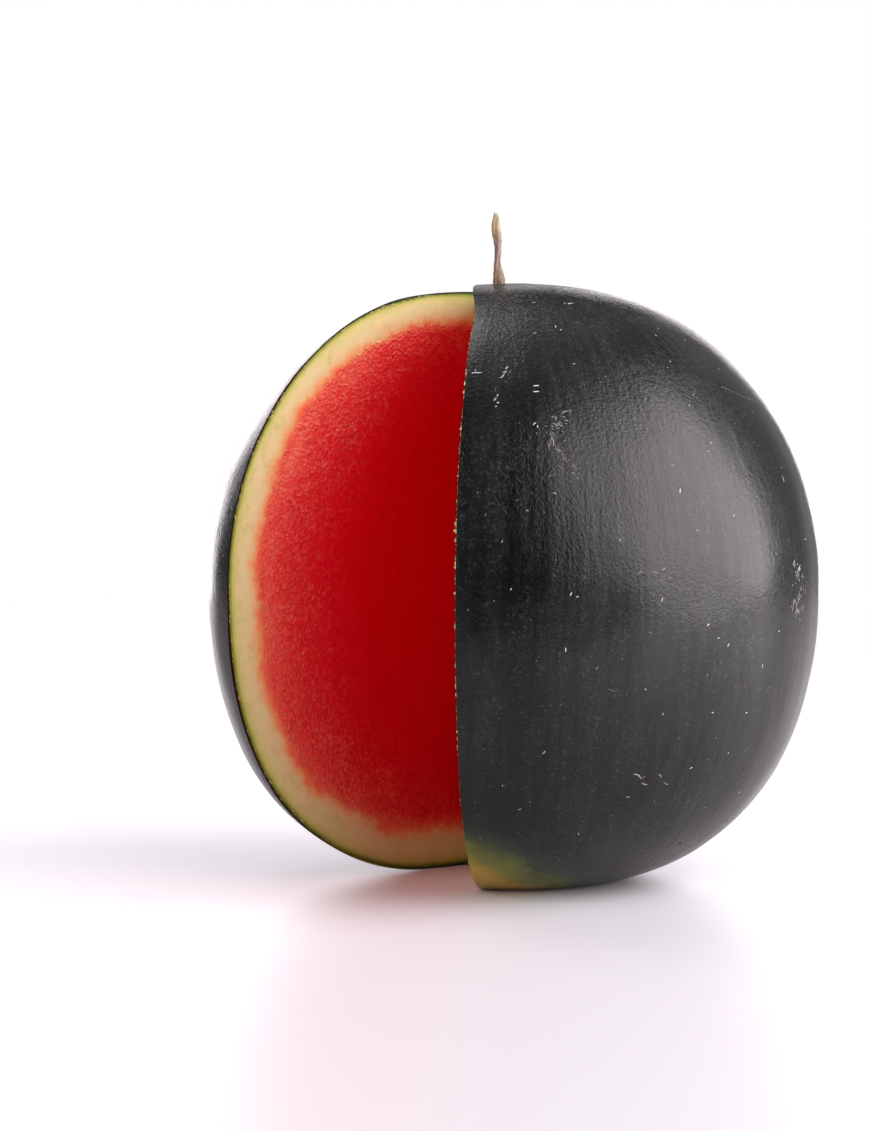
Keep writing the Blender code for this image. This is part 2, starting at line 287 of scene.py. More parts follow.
class Graph:
    """The nodes of a material, a light or a world, added one at a time. A socket is given by its
    place or name, a value is a number, a tuple or another node's output."""

    def __init__(self, owner, shader="Principled BSDF"):
        self.owner = owner
        owner.use_nodes = True
        self.tree = owner.node_tree
        self.shader = self.tree.nodes[shader]

    def put(self, socket, value):
        """A socket linked to another node's output, or set to a value."""
        if isinstance(value, bpy.types.NodeSocket):
            self.tree.links.new(value, socket)
        else:
            socket.default_value = value

    def add(self, kind, inputs, **settings):
        """A node of a kind, with its inputs and its settings."""
        node = self.tree.nodes.new("ShaderNode" + kind)
        for key, value in settings.items():
            setattr(node, key, value)
        for key, value in inputs.items():
            self.put(node.inputs[key], value)
        return node

    def place(self):
        """Where a point lies on the piece, in metres."""
        return self.add("TexCoord", {}).outputs["Object"]

    def stored(self, name):
        """A number stored on the mesh's points."""
        return self.add("Attribute", {}, attribute_name=name).outputs["Fac"]

    def math(self, operation, *values):
        """One operation on numbers."""
        return self.add("Math", dict(enumerate(values)), operation=operation).outputs[0]

    def total(self, first, *others):
        """The sum of all the values."""
        for other in others:
            first = self.math("ADD", first, other)
        return first

    def product(self, first, *others):
        """The product of all the values."""
        for other in others:
            first = self.math("MULTIPLY", first, other)
        return first

    def swing(self, value, spread, middle=0.0):
        """A value from 0 to 1, less a half, times the spread, plus the middle."""
        return self.math("MULTIPLY_ADD", self.math("SUBTRACT", value, 0.5), spread, middle)

    def vector(self, operation, *values):
        """One operation on places."""
        node = self.add("VectorMath", dict(enumerate(values)), operation=operation)
        return node.outputs["Value" if operation in ("LENGTH", "DISTANCE") else "Vector"]

    def scaled(self, vector, x, y, z):
        """A place with each axis times its own factor."""
        return self.vector("MULTIPLY", vector, (x, y, z))

    def bent(self, vector, size, reach):
        """A place pushed along each axis by a noise of the given size, less a half, times the reach."""
        noises = self.add("TexNoise", {"Vector": vector, "Scale": 1 / size, "Detail": 2.0})
        push = self.vector("SUBTRACT", noises.outputs["Color"], (0.5, 0.5, 0.5))
        return self.vector("ADD", vector, self.scaled(push, reach, reach, reach))

    def noise(self, vector, size, detail=3.0, roughness=0.6, distortion=0.0):
        """Noise whose lumps are about the given size, from 0 to 1."""
        node = self.add("TexNoise", {"Vector": vector, "Scale": 1 / size, "Detail": detail,
                                     "Roughness": roughness, "Distortion": distortion})
        return node.outputs["Fac"]

    def cells(self, vector, size, feature="F1"):
        """Cells of about the given size: how far a point is from their middle or edge, and a colour
        drawn for each."""
        return self.add("TexVoronoi", {"Vector": vector, "Scale": 1 / size, "Randomness": 1.0},
                        feature=feature).outputs

    def red(self, colour):
        """The first of a colour's numbers."""
        return self.add("SeparateColor", {"Color": colour}).outputs[0]

    def fade(self, value, low, high, to_low=0.0, to_high=1.0):
        """A smooth step from one number to another as the value goes from low to high."""
        node = self.add("MapRange", {"Value": value, "From Min": low, "From Max": high,
                                     "To Min": to_low, "To Max": to_high},
                        interpolation_type="SMOOTHSTEP")
        return node.outputs["Result"]

    def mix(self, factor, first, second, blend="MIX"):
        """Two colours mixed."""
        node = self.add("Mix", {}, data_type="RGBA", blend_type=blend, clamp_factor=True)
        for socket, value in (("Factor", factor), (6, first), (7, second)):
            self.put(node.inputs[socket], value)
        return node.outputs[2]

    def ramp(self, value, stops, span=1.0):
        """A colour that runs through the stops, given as place and colour, over the span."""
        node = self.add("ValToRGB", {"Fac": self.math("DIVIDE", value, span)})
        points = node.color_ramp.elements
        while len(points) < len(stops):
            points.new(0.5)
        for point, (where, colour) in zip(points, stops):
            point.position = where / span
            point.color = colour
        return node.outputs["Color"]

    def relief(self, *layers):
        """The surface raised by each layer on top of the last, by its height times its distance."""
        below = {}
        for height, distance in layers:
            node = self.add("Bump", {"Height": height, "Distance": distance, "Strength": 1.0, **below})
            below = {"Normal": node.outputs["Normal"]}
        return below["Normal"]

    def finish(self, **inputs):
        """Values or outputs set on the shader, with spaces in a socket's name given as underscores."""
        for key, value in inputs.items():
            self.put(self.shader.inputs[key.replace("_", " ")], value)
        return self.owner


def tint(red, green, blue):
    """A screen colour from 0 to 255 as the linear colour that a material holds."""
    share = np.array([red, green, blue]) / 255
    linear = np.where(share <= 0.04045, share / 12.92, ((share + 0.055) / 1.055) ** 2.4)
    return (float(linear[0]), float(linear[1]), float(linear[2]), 1.0)


def skin_outside(directions):
    """The outer surface on rays from the hub: the shell with slow lumps, faint furrows and low
    creases that run from crown to base. Its edge turns in beside the front cut, above the girth,
    and stands out a little at that cut's upper corner."""
    shell = on_shell(directions, NO_INSET)
    level = shell[..., 2]
    turn = np.arctan2(shell[..., 1], shell[..., 0])
    radius = np.hypot(shell[..., 0], shell[..., 1])
    side = np.clip(radius / GIRTH_RADIUS, 0, 1)
    ring = np.stack([np.cos(turn), np.sin(turn), level * FURROWS_ALONG], axis=-1)
    creases = 0
    for azimuth, height, reach in CREASES:
        arc = radius * np.arctan2(np.sin(turn - azimuth), np.cos(turn - azimuth))
        creases = creases + height * np.exp(-np.hypot(arc, CREASE_ROUNDING) / reach)
    raised = rolling(ring, FURROWS) * side ** 2 + creases * side ** 3 + rolling(shell, LUMPS)
    raised = raised * np.clip(level / RELIEF_RISES_OVER, 0, 1)

    from_hub, past_cut = round_the_hub(shell)
    beside_cut = from_hub * np.mod(past_cut + ON_THE_CUT, 2 * np.pi)
    curled = eased((level - CURL_FROM) / CURL_RISES_OVER) * eased((CURL_TO - level) / CURL_FADES_OVER)
    curl = EDGE_CURL * np.exp(-beside_cut / EDGE_CURL_REACH) * curled
    off_corner = (from_hub - CORNER_FROM_HUB) / CORNER_SPREAD
    corner = CORNER_LIFT * np.exp(-beside_cut / CORNER_REACH - off_corner ** 2)
    raised += np.where(level > WIDEST_LEVEL, corner, 0) - curl
    return strayed(shell) + raised[..., None] * directions


def skin_points():
    """The outer surface and the inner one on rays from the hub, joined at both cuts. The stem's
    dish is pressed into both, and a collar round it stands on the outer one."""
    polar = graded(0, np.pi, SKIN_ROWS, CLOSER_ROWS)[:, None]
    last = FRONT_CUT_ANGLE + ROUND_THE_FRUIT
    azimuth = graded(FRONT_CUT_ANGLE, last, SKIN_OUTER_COLUMNS, (FRONT_CUT_ANGLE, 6, 0.03), (last, 3, 0.03))
    outer = skin_outside(ray_directions(polar, azimuth[None, :]))
    inner = between_cuts(SKIN_INSET, polar, SKIN_INNER_COLUMNS)
    for points, collar_height in ((outer, COLLAR_HEIGHT), (inner, 0.0)):
        share = off_stem(points) / DISH_RADIUS
        dish = np.exp(-(share / DISH_SHARE) ** 4) * DISH_DEPTH
        collar = np.exp(-((share - 1.0) / COLLAR_SHARE) ** 2) * collar_height
        points[..., 2] += np.where(points[..., 2] > WIDEST_LEVEL, collar - dish, 0)
    return np.concatenate([outer, inner[:, ::-1]], axis=1)


def skin_material():
    """Black-green wax, pebbled like fine leather: streaked from crown to base, mottled and netted,
    with pale specks on the pebbles that are partly painted glints, small pale lenticels, and a bloom
    round the stem that is partly painted sheen. An ochre ground spot has a green edge, and the
    blossom end a corky scar."""
    g = Graph(bpy.data.materials.new("waxy_skin"))
    at = g.place()
    axes = g.add("SeparateXYZ", {"Vector": at}).outputs
    around = g.vector("NORMALIZE", g.scaled(at, 1, 1, 0))
    streaks = g.noise(g.vector("ADD", around, g.scaled(at, 2.2, 2.2, 2.2)), 0.14, 4, 0.62)
    lines = g.noise(g.vector("ADD", around, g.scaled(at, 1.3, 1.3, 1.3)), 0.036)
    patches = g.noise(at, 0.034, 4, 0.6)
    mottle = g.noise(at, 0.0034, 3, 0.62)
    bent = g.bent(at, 0.0024, 0.0012)
    pebbles = g.noise(bent, 0.00120, 3, 0.62)
    net = g.fade(g.cells(bent, 0.0021, "DISTANCE_TO_EDGE")["Distance"], 0.0, 0.14)

    tone = g.total(g.product(streaks, 0.9), g.product(patches, 0.7), g.product(mottle, 0.7),
                   g.product(lines, 0.8))
    colour = g.mix(g.fade(tone, 1.30, 2.05), SKIN_DARK, SKIN_LIGHT)
    # Pale specks on the raised pebbles: partly the wax's own tone, partly painted glints.
    specks_and_glints = g.product(g.fade(pebbles, 0.52, 0.74), g.fade(patches, 0.34, 0.62, 0.25, 1.0),
                         g.fade(lines, 0.36, 0.60, 0.30, 1.15), 0.60)
    colour = g.mix(specks_and_glints, colour, SKIN_SPECK_AND_GLINT)
    crown = g.vector("DISTANCE", at, (*STEM_AT, CROWN_LEVEL))
    # Round the stem a pale bloom: partly the wax's own bloom, partly painted sheen of grazing light.
    bloom_and_sheen = g.product(g.fade(crown, 0.078, 0.032), g.fade(pebbles, 0.48, 0.63, 0.0, 0.86),
                        g.fade(mottle, 0.38, 0.62, 0.35, 1.0), g.fade(patches, 0.36, 0.60, 0.20, 0.95))
    colour = g.mix(bloom_and_sheen, colour, SKIN_BLOOM_AND_SHEEN)
    colour = g.mix(g.fade(net, 0.55, 0.0, 0.0, 0.34), colour, SKIN_NET)
    dots = g.cells(at, 0.0085)
    rare = g.fade(g.red(dots["Color"]), 0.62, 0.66)
    colour = g.mix(g.product(g.fade(dots["Distance"], 0.034, 0.016), rare, 0.45), colour, LENTICEL)
    ragged = g.total(g.vector("DISTANCE", at, GROUND_SPOT_AT), g.swing(patches, 0.030),
                     g.swing(mottle, 0.006))
    colour = g.mix(g.fade(ragged, 0.066, 0.048), colour, g.ramp(ragged, GROUND_STOPS, GROUND_SPAN))
    colour = g.mix(g.fade(g.vector("LENGTH", at), 0.0052, 0.0044), colour, SCAR_BROWN)

    dull = g.total(g.swing(streaks, 0.14, SKIN_ROUGHNESS), g.swing(mottle, 0.16),
                   g.fade(net, 0.5, 0.0, 0.0, 0.06), g.fade(crown, 0.060, 0.012, 0.0, 0.22))
    flank = g.fade(g.math("ABSOLUTE", axes["X"]), 0.058, 0.094, 1.0, 0.40)
    low_and_high = g.math("MAXIMUM", g.fade(axes["Z"], 0.092, 0.142, 0.24, 1.15),
                          g.fade(axes["Z"], 0.082, 0.058, 0.24, 0.85))
    relief = g.relief((patches, 0.00020), (g.product(lines, flank), 0.00022), (mottle, 0.00004),
                      (net, 0.000012), (g.product(pebbles, flank, low_and_high), 0.00023))
    return g.finish(Base_Color=colour, Roughness=dull, IOR=1.46, Normal=relief)


SKIN_DARK = tint(3, 4, 3)
SKIN_LIGHT = tint(28, 33, 30)
# The specks' colour is partly a painted glint.
SKIN_SPECK_AND_GLINT = tint(72, 74, 71)
# The bloom's colour is partly a painted sheen.
SKIN_BLOOM_AND_SHEEN = tint(112, 112, 108)
SKIN_NET = tint(3, 4, 4)
LENTICEL = tint(150, 150, 140)
GROUND_SPOT_AT = (-0.030, -0.035, 0.0)
GROUND_SPAN = 0.080
GROUND_STOPS = (   # metres from the spot's middle
    (0.0, tint(206, 164, 48)), (0.0288, tint(206, 164, 48)), (0.0416, tint(122, 124, 40)),
    (0.0528, tint(50, 70, 34)), (0.0688, SKIN_LIGHT),
)
SCAR_BROWN = tint(92, 74, 52)
SKIN_ROUGHNESS = 0.155

new_piece("skin", mesh_from_loops("skin", skin_points(), True), skin_material(), "skin", "fruit")

# Marks. Dry nicks, scratches and scuffs in the wax, where leaves, twigs and other fruits rubbed it
# as it grew and was carried. They are healed skin, pale and corky, and a few are dark pits. Each is
# a slim spindle that lies along the skin and stands a few hundredths of a millimetre proud.
FRUIT_MIDDLE = np.array([0.0, 0.0, MIDDLE_LEVEL])
MARK_STATIONS = 7
MARK_SIDES = 4
MARK_THICKNESS = 0.00005
PLACED_MARKS = (   # longitude and latitude in degrees, length and width in mm, turn, bend, paleness
    (259.0, 44.9, 4.2, 0.34, 2, 0.03, 1.00), (258.6, 45.5, 1.2, 0.26, 80, 0.00, 0.80),
    (273.6, 41.9, 2.4, 0.40, 4, 0.00, 0.92), (273.5, 40.6, 2.4, 0.40, 2, 0.00, 0.88),
    (266.6, 46.1, 1.8, 0.38, 60, 0.15, 0.90), (266.0, 45.2, 1.6, 0.34, 15, -0.10, 0.86),
    (265.9, 44.3, 2.0, 0.34, 68, 0.20, 0.74), (265.3, 43.9, 1.4, 0.30, 20, 0.00, 0.70),
    (264.6, 39.9, 0.9, 0.36, 90, 0.00, 0.84), (264.2, 39.0, 1.6, 0.34, 50, 0.15, 0.86),
    (264.8, 38.3, 0.9, 0.40, 10, 0.00, 0.84), (264.4, 37.5, 0.7, 0.40, 0, 0.00, 0.76),
    (272.8, 33.8, 1.7, 0.34, 42, 0.10, 0.84), (273.4, 33.3, 1.2, 0.34, 80, 0.00, 0.76),
    (281.9, 57.2, 1.5, 0.34, 75, 0.00, 0.74), (283.2, 56.2, 0.9, 0.34, 30, 0.00, 0.66),
    (295.3, 65.9, 2.6, 0.40, 8, 0.12, 0.98), (292.8, 66.2, 1.0, 0.30, 20, 0.00, 0.80),
    (279.0, 67.0, 1.6, 0.34, 15, 0.00, 0.84), (301.7, 20.5, 2.0, 0.40, 75, 0.10, 0.74),
    (278.7, 2.6, 1.4, 0.44, 60, 0.00, 0.78), (279.9, 2.1, 1.1, 0.36, 20, 0.00, 0.70),
    (295.9, 1.2, 1.6, 0.34, 70, 0.00, 0.70), (335.3, 21.6, 2.6, 0.36, 80, 0.10, 0.66),
    (305.9, -3.7, 1.3, 0.44, 40, 0.00, 0.80), (308.4, -6.2, 1.0, 0.36, 10, 0.00, 0.70),
    (310.9, -7.6, 1.4, 0.40, 65, 0.00, 0.74), (326.3, -6.1, 1.2, 0.36, 30, 0.00, 0.66),
    (321.3, -12.1, 1.8, 0.36, 80, 0.00, 0.70), (318.3, -20.4, 1.2, 0.40, 20, 0.00, 0.74),
    (308.7, -19.7, 0.9, 0.40, 0, 0.00, 0.66), (297.3, -19.4, 1.1, 0.36, 50, 0.00, 0.62),
    (306.6, -30.1, 1.3, 0.40, 35, 0.00, 0.74), (316.0, -27.9, 1.0, 0.36, 70, 0.00, 0.66),
    (327.6, -37.0, 1.4, 0.36, 15, 0.00, 0.62), (292.0, 5.5, 4.2, 0.30, 3, 0.04, 0.02),
    (294.6, 5.2, 3.6, 0.26, -4, -0.05, 0.04), (294.0, -31.2, 4.4, 0.55, -32, 0.18, 0.52),
    (296.2, -32.6, 3.0, 0.60, -20, -0.14, 0.46), (295.4, -31.5, 2.2, 0.40, 35, 0.10, 0.40),
    (299.3, -31.3, 2.4, 0.50, -48, 0.12, 0.46), (301.5, -32.9, 2.8, 0.42, -28, -0.10, 0.42),
    (293.1, -35.4, 1.8, 0.44, -10, 0.10, 0.50), (318.1, -48.8, 1.8, 1.10, 20, 0.00, 0.00),
    (266.4, 12.0, 1.0, 0.34, 70, 0.00, 0.66), (271.0, 17.5, 0.9, 0.34, 10, 0.00, 0.66),
    (288.0, 12.0, 1.2, 0.30, 60, 0.00, 0.58), (284.0, 47.0, 1.1, 0.30, 30, 0.00, 0.66),
    (291.6, 6.1, 2.2, 0.24, 24, 0.10, 0.50), (294.4, 6.0, 2.8, 0.22, -16, 0.08, 0.46),
    (296.3, 6.6, 1.8, 0.26, 38, 0.00, 0.56), (295.8, 4.6, 1.6, 0.22, -30, 0.00, 0.42),
    (315.0, -14.0, 4.2, 0.28, 84, 0.05, 0.06), (317.0, -12.0, 3.0, 0.24, 88, -0.04, 0.08),
    (318.4, -16.5, 3.6, 0.26, 80, 0.06, 0.06), (311.5, -9.0, 2.4, 0.24, 86, 0.05, 0.10),
)
LONG_SCRATCH = ((328.3, 40.9), (336.5, 38.2), (351.0, 36.0))
SCRATCH_BITS = 15
SCRATCH_SHAPE = (1.5, 0.16, -16.0, 0.0)   # length, width, turn and bend of each bit
SCUFFS = (   # longitude, latitude, reach each way in degrees, count, length, width, turn, paleness
    (276.2, 31.0, 0.9, 1.7, 32, 1.1, 0.12, -60, 0.64),
    (278.0, 28.0, 1.1, 1.8, 32, 1.1, 0.12, -56, 0.56),
    (280.2, 25.0, 1.3, 1.9, 30, 1.1, 0.12, -54, 0.50),
    (277.4, 23.5, 1.8, 3.0, 30, 1.0, 0.10, -50, 0.40),
    (278.0, 33.6, 1.6, 1.4, 30, 0.9, 0.15, -25, 0.74),
    (284.0, 26.0, 5.0, 6.0, 46, 1.1, 0.11, -45, 0.34),
    (334.4, 4.4, 1.9, 1.5, 22, 1.5, 0.36, 52, 0.56),
    (334.4, -0.8, 2.3, 2.1, 34, 1.6, 0.34, 68, 0.54),
    (267.5, 47.5, 2.2, 5.0, 50, 1.4, 0.11, 78, 0.38),
    (266.5, 56.0, 4.2, 5.0, 120, 1.1, 0.10, 64, 0.38),
    (352.0, 14.0, 2.0, 3.6, 36, 1.8, 0.14, 40, 0.48),
    (31.0, -14.0, 1.6, 2.6, 30, 1.4, 0.20, 65, 0.58),
    (74.0, 26.0, 2.6, 3.0, 44, 1.7, 0.15, -35, 0.46),
    (118.0, -4.0, 1.8, 4.0, 36, 1.6, 0.20, 55, 0.60),
    (176.0, 31.0, 2.2, 3.2, 36, 1.5, 0.15, -60, 0.46),
)
SCATTERED_MARKS = 620
MARK_SEED = 71
BARE_BESIDE_CUTS = 0.0025
BARE_ROUND_STEM = 0.011


def spindle(stations, sides):
    """A slim closed spindle: places along it from -1 to 1, angles round its section, and the half
    ellipse by which it swells along its length."""
    along = np.linspace(-1, 1, stations)[None, :, None]
    section = np.linspace(0, 2 * np.pi, sides, endpoint=False)[None, None, :]
    return along, section, np.sqrt(np.clip(1 - along ** 2, 0, 1))


def lines_on_skin(longitude, latitude, length, width, turn, bend):
    """Slim closed spindles on the skin, one for each entry. The middle line of each is an arc with
    its bend as a share of its length, turned from level. The width follows a half ellipse, and the
    section is a flat diamond half sunk in the skin."""
    along, section, swollen = spindle(MARK_STATIONS, MARK_SIDES)
    length, width, turn, bend, longitude, latitude = (
        np.asarray(value)[:, None, None] for value in (length, width, turn, bend, longitude, latitude))
    forward = along * length / 2 + 0 * section
    sideways = bend * length * (1 - along ** 2) + swollen * width / 2 * np.cos(section)
    east_way = np.stack([-np.sin(longitude), np.cos(longitude), 0 * longitude], axis=-1)
    out_way = ray_directions(np.pi / 2 - latitude, longitude)
    north_way = np.cross(out_way, east_way)
    reach = shell_reach(out_way, NO_INSET, FRUIT_MIDDLE)
    east = forward * np.cos(turn) - sideways * np.sin(turn)
    north = forward * np.sin(turn) + sideways * np.cos(turn)
    seen = reach[..., None] * out_way + east[..., None] * east_way + north[..., None] * north_way
    seen /= np.linalg.norm(seen, axis=-1, keepdims=True)
    from_hub = on_shell(seen, NO_INSET, FRUIT_MIDDLE) - HUB
    from_hub /= np.linalg.norm(from_hub, axis=-1, keepdims=True)
    lift = MARK_THICKNESS * (0.25 + np.sin(section)) * swollen
    return skin_outside(from_hub) + lift[..., None] * from_hub


def mark_points():
    """The placed marks, the scuffs as bundles of seeded fine scratches, one long scratch, and seeded
    nicks all round the fruit, apart from the notch, with the paleness of each."""
    rng = np.random.default_rng(MARK_SEED)
    rows = [np.array(PLACED_MARKS, dtype=float)]
    for longitude, latitude, wide, tall, count, length, width, turn, pale in SCUFFS:
        rows.append(np.stack([
            longitude + wide * rng.normal(size=count) * 0.7, latitude + tall * rng.normal(size=count) * 0.7,
            length * rng.lognormal(0, 0.45, count), width * rng.lognormal(0, 0.25, count),
            turn + 22 * rng.normal(size=count), 0.12 * rng.normal(size=count),
            pale * rng.uniform(0.55, 1.15, count)], axis=1))
    scratch = np.array(LONG_SCRATCH)
    share = np.linspace(0, 1, SCRATCH_BITS)
    rows.append(np.stack([
        *(np.interp(share, (0, 0.5, 1), scratch[:, column]) for column in (0, 1)),
        *(np.full(SCRATCH_BITS, value) for value in SCRATCH_SHAPE),
        rng.uniform(0.35, 0.65, SCRATCH_BITS)], axis=1))
    count = SCATTERED_MARKS
    rows.append(np.stack([
        rng.uniform(0, 360, count), np.degrees(np.arcsin(rng.uniform(-0.80, 0.97, count))),
        np.clip(0.65 * rng.lognormal(0, 0.60, count), 0.3, 3.2), 0.19 * rng.lognormal(0, 0.30, count),
        rng.uniform(-90, 90, count), 0.10 * rng.normal(size=count), rng.uniform(0.22, 0.98, count) ** 1.3],
        axis=1))
    rows = np.concatenate(rows)
    longitude, latitude, turn = (np.radians(rows[:, column]) for column in (0, 1, 4))
    points = lines_on_skin(longitude, latitude, rows[:, 2] / 1000, rows[:, 3] / 1000, turn, rows[:, 5])
    middles = points.mean(axis=(1, 2))
    from_hub, past_cut = round_the_hub(middles)
    beside_cut = from_hub * np.mod(past_cut, 2 * np.pi)
    before_cut = from_hub * (ROUND_THE_FRUIT - np.mod(past_cut, 2 * np.pi))
    kept = ((beside_cut > BARE_BESIDE_CUTS) & (before_cut > BARE_BESIDE_CUTS)
            & (off_stem(middles) > BARE_ROUND_STEM))
    return points[kept], rows[kept, 6]


def mark_material():
    """Cork: from a dark pit through brown to a dry white, after the paleness stored on each mark."""
    g = Graph(bpy.data.materials.new("corky_mark"))
    grain = g.noise(g.place(), 0.0006)
    colour = g.ramp(g.swing(grain, 0.35, g.stored("pale")), MARK_STOPS)
    return g.finish(Base_Color=colour, Roughness=0.78, Normal=g.relief((grain, 0.00003)))


MARK_STOPS = (
    (0.00, tint(10, 9, 8)), (0.12, tint(16, 15, 14)), (0.24, tint(62, 60, 57)), (0.42, tint(124, 116, 104)),
    (0.56, tint(158, 155, 149)), (0.75, tint(196, 195, 191)), (1.00, tint(228, 228, 225)),
)

mark_grids, mark_paleness = mark_points()
mark_mesh = mesh_from_loops("skin_marks", mark_grids, True, pale=mark_paleness[:, None, None])
new_piece("skin_marks", mark_mesh, mark_material(), "skin")

# Rind. The firm pale layer under the skin, green outside and cream inside, cut flat by the knife
# on both faces of the notch. It grew between the skin and the flesh and is one with them.
RIND_INSET = (0.0125, 0.0100, 0.0150)
RIND_UNDER_SKIN = (0.00045, 0.00045, 0.00045)
RIND_INSIDE_FRUIT = (0.0016, 0.0016, 0.0016)   # clear of the skin's furrows where it is hidden
RIND_FACE_SINK = 0.00002
FACE_ROWS = 380
RIND_RIM_COLUMNS = 13
HIDDEN_COLUMNS = 28
CORNER_EASES_OVER = 0.0025
REAR_CUT_OUT = np.array([-math.sin(REAR_CUT_ANGLE), math.cos(REAR_CUT_ANGLE), 0.0])
FRONT_CUT_OUT = np.array([math.sin(FRONT_CUT_ANGLE), -math.cos(FRONT_CUT_ANGLE), 0.0])
REAR_CUT = (REAR_CUT_ANGLE, REAR_CUT_OUT)
FRONT_CUT = (FRONT_CUT_ANGLE, FRONT_CUT_OUT)
RIND_WAVES = ((0.011, 31, 0.00002),)
OUTLINE_STEPS = 260
DEPTH_PARTS = 60


def face_points(cut, outer_inset, inner_inset, shares, polar, relief):
    """A cut face as rays from the hub in the plane of the cut. The columns run by the given shares
    from the outer shell to the inner one, or to the hub where there is none. The relief pushes each
    point along the face's outward direction, and eases to nothing at the corner of the notch."""
    azimuth, out = cut
    directions = ray_directions(polar, np.full((1, 1), azimuth))
    outer = shell_reach(directions, outer_inset)
    inner = shell_reach(directions, inner_inset) if inner_inset else np.zeros_like(outer)
    reach = outer + (inner - outer) * shares[None, :]
    points = HUB + reach[..., None] * directions
    push = relief(points, shares) * eased(round_the_hub(points)[0] / CORNER_EASES_OVER)
    return strayed(points) + push[..., None] * out


def rind_relief(points, shares):
    """Slow waves, a hair under the plane of the knife."""
    return rolling(points, RIND_WAVES) - RIND_FACE_SINK


def rind_points():
    """A ring on each cut face between two shells, and the shells themselves, hidden in the fruit."""
    polar = np.linspace(0, np.pi, FACE_ROWS)[:, None]
    shares = np.linspace(0, 1, RIND_RIM_COLUMNS)
    rear, front = (face_points(cut, RIND_UNDER_SKIN, RIND_INSET, shares, polar, rind_relief)
                   for cut in (REAR_CUT, FRONT_CUT))
    outside, inside = (between_cuts(inset, polar, HIDDEN_COLUMNS)[:, 1:-1]
                       for inset in (RIND_INSIDE_FRUIT, RIND_INSET))
    return np.concatenate([rear, inside[:, ::-1], front[:, ::-1], outside], axis=1)


def outline_depth(points):
    """How deep each point lies under the skin: its distance to the nearest of many points on the
    fruit's half outline."""
    turn = np.linspace(0, np.pi / 2, OUTLINE_STEPS)
    above = GIRTH_RADIUS * np.sin(turn) ** (2 / CROWN_FULLNESS)
    below = GIRTH_RADIUS * np.sin(turn[::-1]) ** (2 / BASE_FULLNESS)
    radius = np.concatenate([above, below])
    height = np.concatenate([upper_height(above, NO_INSET), lower_height(below, NO_INSET)])
    depth = []
    for part in np.array_split(points, DEPTH_PARTS):
        across = axis_distance(part)[:, None] - radius
        up = part[:, 2:3] - height
        depth.append(np.sqrt((across ** 2 + up ** 2).min(axis=1)))
    return np.concatenate(depth)


def store_depth(mesh):
    """Keeps two numbers on each point: how deep it lies, and that depth as a share of the rind's
    thickness at its height."""
    points = np.zeros(len(mesh.vertices) * 3)
    mesh.vertices.foreach_get("co", points)
    points = points.reshape(-1, 3)
    depth = outline_depth(points)
    thickness = np.interp(points[:, 2], (0.0, WIDEST_LEVEL, CROWN_LEVEL),
                          (RIND_INSET[2], RIND_INSET[0], RIND_INSET[1]))
    store(mesh, depth=depth, rind_share=depth / thickness)
    return mesh


def rind_colour(g, at):
    """The colour from the skin inward: dark green, yellow-green, cream, peach, then the first red of
    the flesh, pushed in and out by three sizes of noise, and clouded."""
    share = g.stored("rind_share")
    pushed = g.total(*(g.swing(g.noise(at, size, detail, roughness), spread)
                       for size, detail, roughness, spread in RIND_PUSHES))
    share = g.total(share, g.product(pushed, g.fade(share, 0.05, 0.75, 0.06, 1.0)))
    colour = g.ramp(share, RIND_STOPS, RIND_SPAN)
    clouds = g.noise(at, 0.0062, 4, 0.6, 0.6)
    inside = g.product(g.fade(share, 0.14, 0.34), g.fade(share, 0.98, 0.72))
    colour = g.mix(g.product(g.fade(clouds, 0.50, 0.70, 0.0, 0.60), inside), colour, RIND_PALE)
    return g.mix(g.product(g.fade(clouds, 0.48, 0.32, 0.0, 0.45), inside), colour, RIND_GREENISH)


def rind_material():
    """Firm, wet and slightly fibrous: the rind's colours, and pores finer than the flesh's."""
    g = Graph(bpy.data.materials.new("cut_rind"))
    at = g.place()
    relief = g.relief((g.noise(at, 0.0040), 0.00010), (g.noise(at, 0.0012), 0.00006))
    return g.finish(Base_Color=rind_colour(g, at), Roughness=0.40, IOR=1.40, Normal=relief)


RIND_PUSHES = (   # size, detail, roughness, spread
    (0.017, 2, 0.5, 0.76), (0.0050, 3, 0.6, 0.46), (0.0014, 2, 0.6, 0.20),
)
RIND_SPAN = 1.6
RIND_STOPS = (
    (0.030, tint(30, 46, 18)), (0.060, tint(74, 96, 30)), (0.105, tint(140, 154, 58)),
    (0.180, tint(200, 204, 110)), (0.300, tint(220, 217, 142)), (0.470, tint(229, 222, 158)),
    (0.660, tint(235, 218, 160)), (0.830, tint(240, 200, 138)), (0.960, tint(244, 168, 108)),
    (1.050, tint(246, 132, 88)), (1.160, tint(247, 104, 76)), (1.340, tint(245, 84, 70)),
)
RIND_PALE = tint(232, 224, 174)
RIND_GREENISH = tint(200, 196, 112)

rind_mesh = store_depth(mesh_from_loops("rind", rind_points(), True))
new_piece("rind", rind_mesh, rind_material(), "rind", "fruit")

